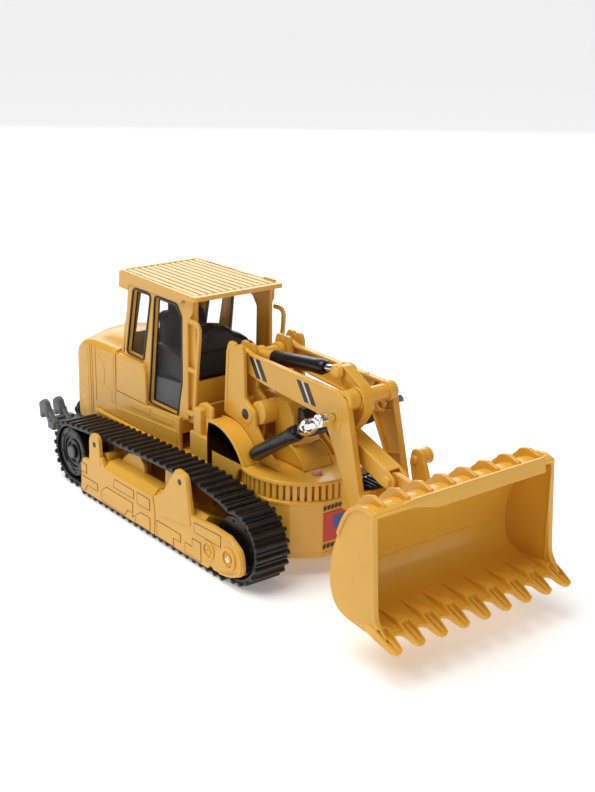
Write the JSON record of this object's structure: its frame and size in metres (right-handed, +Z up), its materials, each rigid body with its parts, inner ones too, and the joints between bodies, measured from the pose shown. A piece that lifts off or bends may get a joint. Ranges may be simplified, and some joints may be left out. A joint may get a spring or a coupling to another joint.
{
  "type": "toy bulldozer",
  "caption": "Tracked toy loader with cab, hood, crawler tracks, loader arms with cylinders and bell crank, toothed bucket and hinged rear ripper.",
  "frame": {"origin": "on the ground under the middle of the overall length and width", "axes": "+X forward towards the bucket, +Y to the vehicle's left, +Z up"},
  "size_m": [0.518, 0.169, 0.1925],
  "materials": {
    "yellow_body": "injection-moulded yellow plastic, semi-gloss",
    "black_plastic": "black plastic, satin",
    "track_rubber": "soft black rubber, matt",
    "dark_grey": "dark grey plastic, matt",
    "chrome_rod": "bright plated rod",
    "steel": "plain steel pin",
    "window": "clear smoky plastic glazing",
    "board_green": "green laminate",
    "cell_blue": "blue shrink-wrapped cells"
  },
  "bodies": {
    "chassis": {"hull": "yellow_body", "belly_cover": "yellow_body", "battery_door": "yellow_body", "battery_pack": "cell_blue", "control_board": "board_green", "drive_gearbox_right": "black_plastic", "drive_gearbox_left": "black_plastic", "drive_motor_right": "steel", "drive_motor_left": "steel", "lift_drive": "black_plastic", "track_belt_right": "track_rubber", "track_belt_left": "track_rubber", "track_frame_right": "yellow_body", "track_frame_left": "yellow_body", "body_shell": "yellow_body", "cab_frame": "yellow_body", "quarter_window_right": "window", "quarter_window_left": "window", "door_window_right": "window", "door_window_left": "window", "roof": "yellow_body", "operator_seat": "black_plastic", "dashboard": "black_plastic", "handrail_right": "yellow_body", "handrail_left": "yellow_body", "turntable_ring": "yellow_body", "mast_housing": "yellow_body", "lift_drive_cover": "black_plastic", "mast_right": "yellow_body", "mast_left": "yellow_body", "mast_pin_right": "black_plastic", "mast_pin_left": "black_plastic", "mast_shaft": "steel", "front_fender_right": "yellow_body", "front_fender_left": "yellow_body", "ripper_bracket_right": "black_plastic", "ripper_bracket_left": "black_plastic"},
    "power_switch": {"power_switch": "black_plastic"},
    "sprocket_right": {"sprocket_right": "black_plastic"},
    "sprocket_left": {"sprocket_left": "black_plastic"},
    "idler_right": {"idler_right": "black_plastic"},
    "idler_left": {"idler_left": "black_plastic"},
    "ripper": {"ripper": "dark_grey"},
    "lift_arms": {"lift_arm_right": "yellow_body", "lift_arm_left": "yellow_body", "cross_tube": "yellow_body", "cross_box": "yellow_body", "bucket_motor": "black_plastic", "bucket_pin_right": "steel", "bucket_pin_left": "steel"},
    "lift_barrel_right": {"lift_barrel_right": "black_plastic"},
    "lift_barrel_left": {"lift_barrel_left": "black_plastic"},
    "lift_rod_right": {"lift_rod_right": "chrome_rod"},
    "lift_rod_left": {"lift_rod_left": "chrome_rod"},
    "bell_crank": {"bell_crank": "yellow_body"},
    "bucket_link": {"bucket_link": "yellow_body"},
    "tilt_barrel": {"tilt_barrel": "black_plastic"},
    "tilt_rod": {"tilt_rod": "chrome_rod", "tilt_fork": "yellow_body"},
    "bucket": {"bucket": "yellow_body"}
  },
  "joints": [
    {"name": "arm_lift", "type": "hinge", "parent": "chassis", "child": "lift_arms", "pos_m": [0.011, 0, 0.15], "axis": [0, -1, 0], "range_deg": [-6, 40]},
    {"name": "lift_barrel_right_pivot", "type": "hinge", "parent": "chassis", "child": "lift_barrel_right", "pos_m": [0.046, -0.0352, 0.085], "axis": [0, -1, 0], "range_deg": [-6, 33]},
    {"name": "lift_rod_right_slide", "type": "slide", "parent": "lift_barrel_right", "child": "lift_rod_right", "axis": [0.8437, 0, 0.5369], "range_m": [-0.0075, 0.0485]},
    {"name": "lift_barrel_left_pivot", "type": "hinge", "parent": "chassis", "child": "lift_barrel_left", "pos_m": [0.046, 0.0352, 0.085], "axis": [0, -1, 0], "range_deg": [-6, 33]},
    {"name": "lift_rod_left_slide", "type": "slide", "parent": "lift_barrel_left", "child": "lift_rod_left", "axis": [0.8437, 0, 0.5369], "range_m": [-0.0075, 0.0485]},
    {"name": "bucket_tilt", "type": "hinge", "parent": "lift_arms", "child": "bucket", "pos_m": [0.169, 0, 0.06], "axis": [0, 1, 0], "range_deg": [-10, 40]},
    {"name": "crank_pivot", "type": "hinge", "parent": "lift_arms", "child": "bell_crank", "pos_m": [0.132, -0.007, 0.148], "axis": [0, 1, 0], "range_deg": [-41, 11]},
    {"name": "link_pivot", "type": "hinge", "parent": "bell_crank", "child": "bucket_link", "pos_m": [0.115, -0.007, 0.118], "axis": [0, 1, 0], "range_deg": [-12, 42]},
    {"name": "tilt_barrel_pivot", "type": "hinge", "parent": "lift_arms", "child": "tilt_barrel", "pos_m": [0.011, -0.007, 0.15], "axis": [0, 1, 0], "range_deg": [-3, 9]},
    {"name": "tilt_rod_slide", "type": "slide", "parent": "tilt_barrel", "child": "tilt_rod", "axis": [0.9927, 0, 0.1207], "range_m": [-0.0075, 0.002]},
    {"name": "sprocket_right_spin", "type": "hinge", "parent": "chassis", "child": "sprocket_right", "pos_m": [-0.17, -0.062, 0.0285], "axis": [0, 1, 0], "continuous": true},
    {"name": "idler_right_spin", "type": "hinge", "parent": "chassis", "child": "idler_right", "pos_m": [0.075, -0.062, 0.03], "axis": [0, 1, 0], "continuous": true},
    {"name": "sprocket_left_spin", "type": "hinge", "parent": "chassis", "child": "sprocket_left", "pos_m": [-0.17, 0.062, 0.0285], "axis": [0, 1, 0], "continuous": true},
    {"name": "idler_left_spin", "type": "hinge", "parent": "chassis", "child": "idler_left", "pos_m": [0.075, 0.062, 0.03], "axis": [0, 1, 0], "continuous": true},
    {"name": "ripper_pivot", "type": "hinge", "parent": "chassis", "child": "ripper", "pos_m": [-0.2265, 0, 0.044], "axis": [0, 1, 0], "range_deg": [-10, 35]},
    {"name": "power_switch_slide", "type": "slide", "parent": "chassis", "child": "power_switch", "axis": [1, 0, 0], "range_m": [0, 0.0045]}
  ],
  "couplings": [
    {"joint": "lift_barrel_right_pivot", "follows": "arm_lift", "ratio": 0.7926},
    {"joint": "lift_rod_right_slide", "follows": "arm_lift", "m_per_rad": 0.0687},
    {"joint": "lift_barrel_left_pivot", "follows": "arm_lift", "ratio": 0.7926},
    {"joint": "lift_rod_left_slide", "follows": "arm_lift", "m_per_rad": 0.0687},
    {"joint": "crank_pivot", "follows": "bucket_tilt", "ratio": -0.992},
    {"joint": "link_pivot", "follows": "bucket_tilt", "ratio": 1.028},
    {"joint": "tilt_barrel_pivot", "follows": "bucket_tilt", "ratio": 0.202},
    {"joint": "tilt_rod_slide", "follows": "bucket_tilt", "m_per_rad": -0.009884},
    {"joint": "idler_right_spin", "follows": "sprocket_right_spin", "ratio": 0.95},
    {"joint": "idler_left_spin", "follows": "sprocket_left_spin", "ratio": 0.95}
  ]
}
